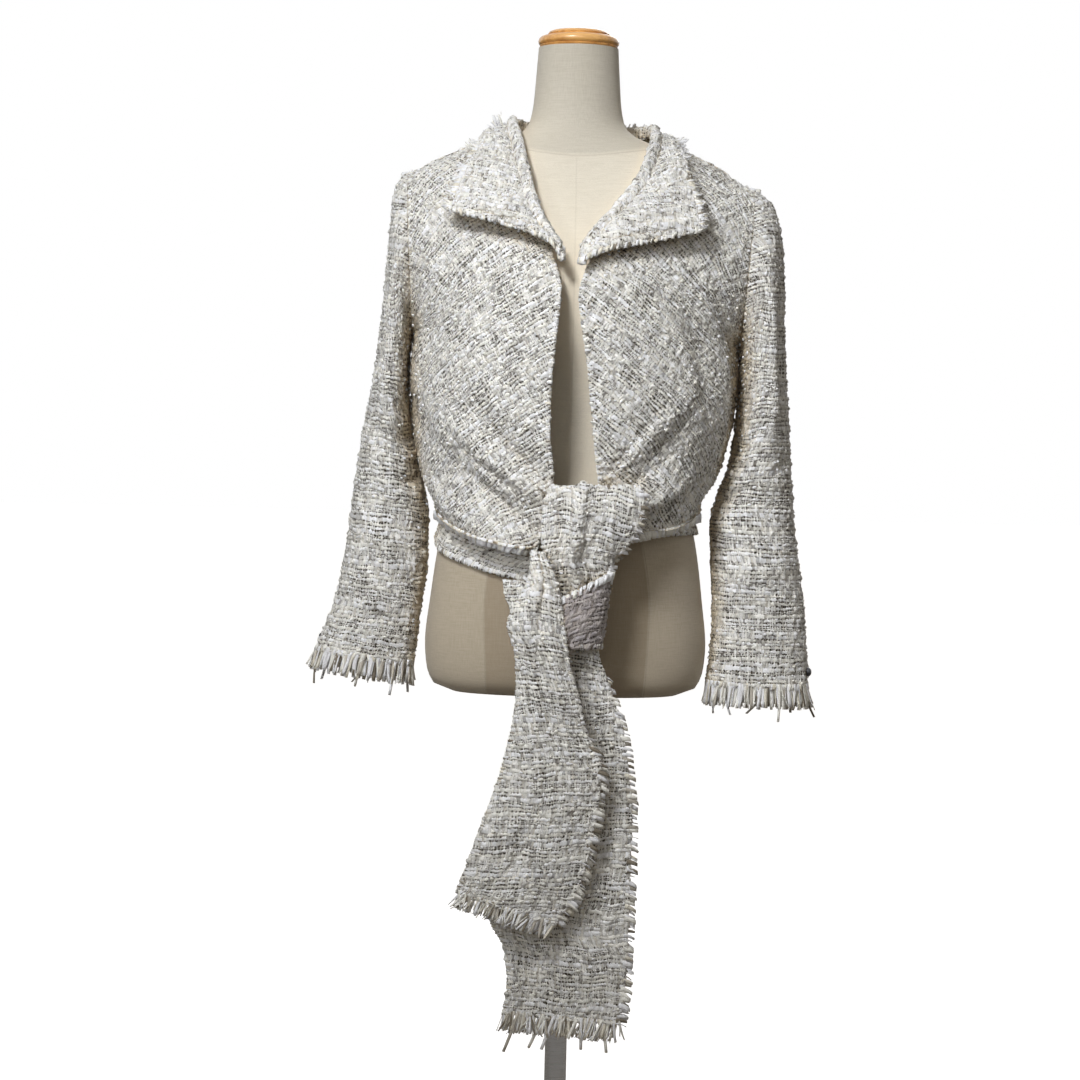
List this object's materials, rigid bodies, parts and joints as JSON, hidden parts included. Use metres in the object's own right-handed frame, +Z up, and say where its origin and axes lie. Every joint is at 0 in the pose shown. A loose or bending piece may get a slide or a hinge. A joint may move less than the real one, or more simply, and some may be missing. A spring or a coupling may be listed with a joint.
{
  "type": "cropped tweed jacket on a dress form",
  "caption": "Cropped open-weave tweed jacket with wide lapels, fringed raw edges and a front tie knotted at the waist, worn by a linen-covered dress form on a plain stand.",
  "frame": {"origin": "middle of the underside of the stand's foot, on the floor, below the form's axis", "axes": "+Z up along the pole, the jacket's front faces -Y, +X towards the wearer's left"},
  "size_m": [0.5703, 0.3421, 1.354],
  "materials": {
    "tweed": "rough open weave of white, cream and grey yarns",
    "yarn": "loose matte yarn ends",
    "linen": "plain matte weave, drawn tight",
    "wood": "turned, honey-coloured varnish",
    "steel": "satin",
    "dark_metal": "dark satin"
  },
  "bodies": {
    "root": {"form_torso": "linen", "neck_cap": "wood", "cap_nut": "dark_metal", "pole_collar": "wood", "pole": "steel", "foot": "wood", "front_right": "tweed", "front_left": "tweed", "back": "tweed", "sleeve_right": "tweed", "sleeve_left": "tweed", "collar": "tweed", "waist_band": "tweed", "tie_left": "tweed", "tie_right": "tweed", "tie_tuck": "tweed", "knot_wrap": "tweed", "fringe_cuff_right": "yarn", "fringe_cuff_left": "yarn", "fringe_tie_right_end": "yarn", "fringe_tie_left_end": "yarn", "fringe_tie_right_side": "yarn", "fringe_tie_left_side": "yarn", "fringe_collar": "yarn", "cuff_button_left": "dark_metal", "cuff_button_right": "dark_metal"}
  },
  "joints": []
}
